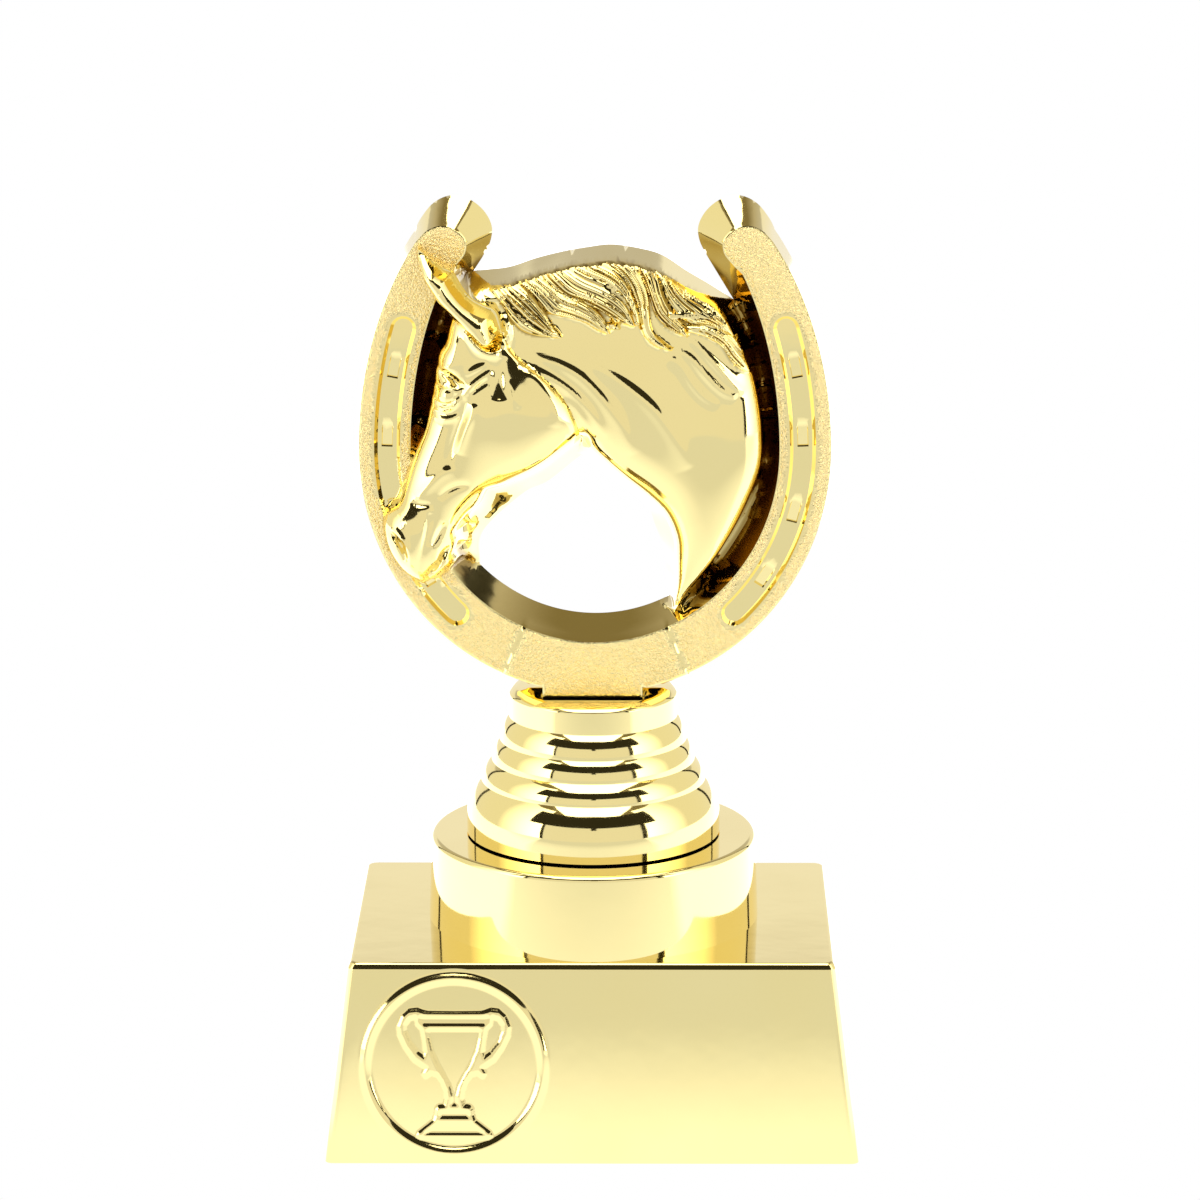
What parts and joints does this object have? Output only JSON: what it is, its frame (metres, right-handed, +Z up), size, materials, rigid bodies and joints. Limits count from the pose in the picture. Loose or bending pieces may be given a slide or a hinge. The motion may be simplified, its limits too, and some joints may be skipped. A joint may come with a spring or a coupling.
{
  "type": "horse trophy",
  "caption": "Small prize trophy: horse's head within an upright horseshoe, on a ringed stem and a drafted oblong plinth with a round platform and an embossed cup.",
  "frame": {"origin": "middle of the plinth's underside, on the axis of stem and platform", "axes": "+Z up, -Y to the front that shows the horse and the emblem, +X to the right of that front"},
  "size_m": [0.079, 0.0589, 0.1398],
  "materials": {
    "base_gold": "moulded plastic, metallised to a mirror-bright pale gold",
    "riser_gold": "moulded plastic, metallised to a mirror-bright pale gold",
    "figure_gold": "moulded plastic, metallised pale gold, bright on the horse and grained on the shoe's face"
  },
  "bodies": {
    "root": {"base": "base_gold", "riser": "riser_gold", "figure": "figure_gold"}
  },
  "joints": []
}
